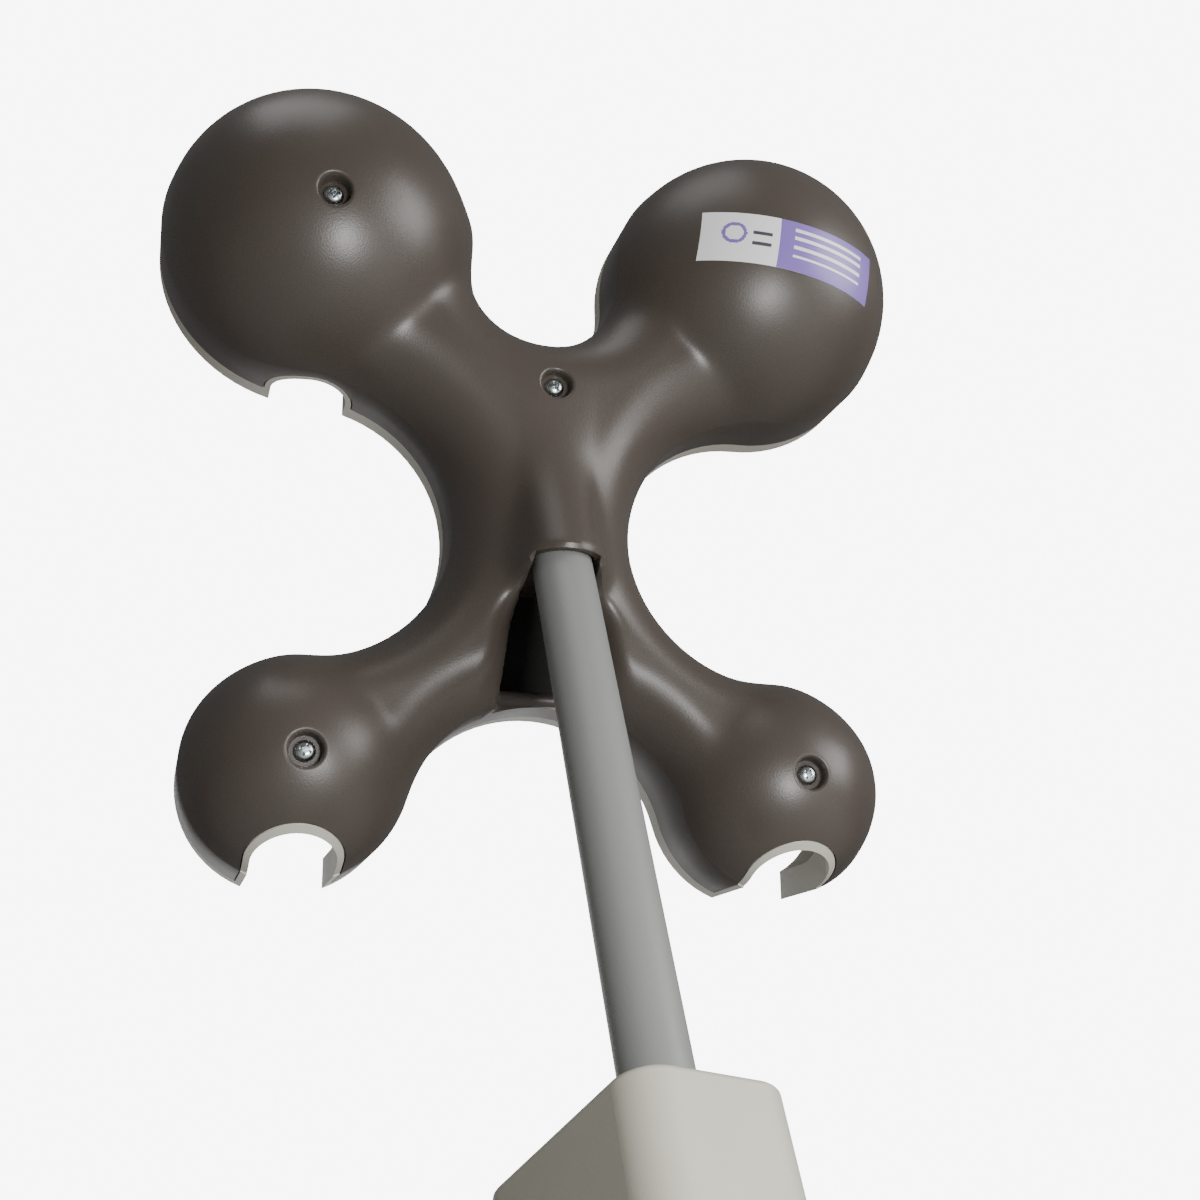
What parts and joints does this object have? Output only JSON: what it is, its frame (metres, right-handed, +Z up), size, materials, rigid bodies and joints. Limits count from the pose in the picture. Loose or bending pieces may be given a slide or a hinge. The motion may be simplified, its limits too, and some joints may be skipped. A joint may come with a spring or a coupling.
{
  "type": "handpiece cradle",
  "caption": "Round-lobed cup cradle for treatment handpieces, leaning back on a slim mast that swivels in a boxy column top.",
  "frame": {"origin": "on the mast's axis, on the column top's mounting face", "axes": "+Z up along the mast, +Y towards the column's rear, +X to the column's side; the head leans back towards +Y and is turned 17 degrees on the mast at rest"},
  "size_m": [0.3071, 0.2478, 0.5262],
  "materials": {
    "dark_shell": "satin moulded ABS with a very fine grain",
    "pale_shell": "satin moulded ABS, warm grey",
    "column_plastic": "satin moulded ABS, warm grey",
    "mast_paint": "satin grey powder coat",
    "zinc": "bright zinc plate",
    "steel": "plated sheet steel",
    "casting": "as cast",
    "brass": "turned",
    "soft_pad": "matt",
    "bearing_plastic": "acetal",
    "label": "semi-gloss vinyl label"
  },
  "bodies": {
    "column": {"column_housing": "column_plastic", "base_plate": "steel", "mast_socket": "steel", "upper_bush": "bearing_plastic", "lower_bush": "bearing_plastic", "thrust_washer": "bearing_plastic", "drag_pad": "bearing_plastic", "drag_screw": "zinc", "drag_nut": "zinc", "housing_screws": "zinc"},
    "head": {"mast_tube": "mast_paint", "mast_plug": "bearing_plastic", "stop_pin": "steel", "back_shell": "dark_shell", "front_shell": "pale_shell", "shell_screws": "zinc", "boss_inserts": "brass", "rest_pads": "soft_pad", "service_label": "label", "seat_plate": "steel", "mast_seat": "casting", "mast_strap": "steel", "seat_screws": "zinc", "strap_screws": "zinc"}
  },
  "joints": [
    {"name": "mast_swivel", "type": "hinge", "parent": "column", "child": "head", "pos_m": [0, 0, 0.11], "axis": [0, 0, 1], "range_deg": [-28, 62]}
  ]
}
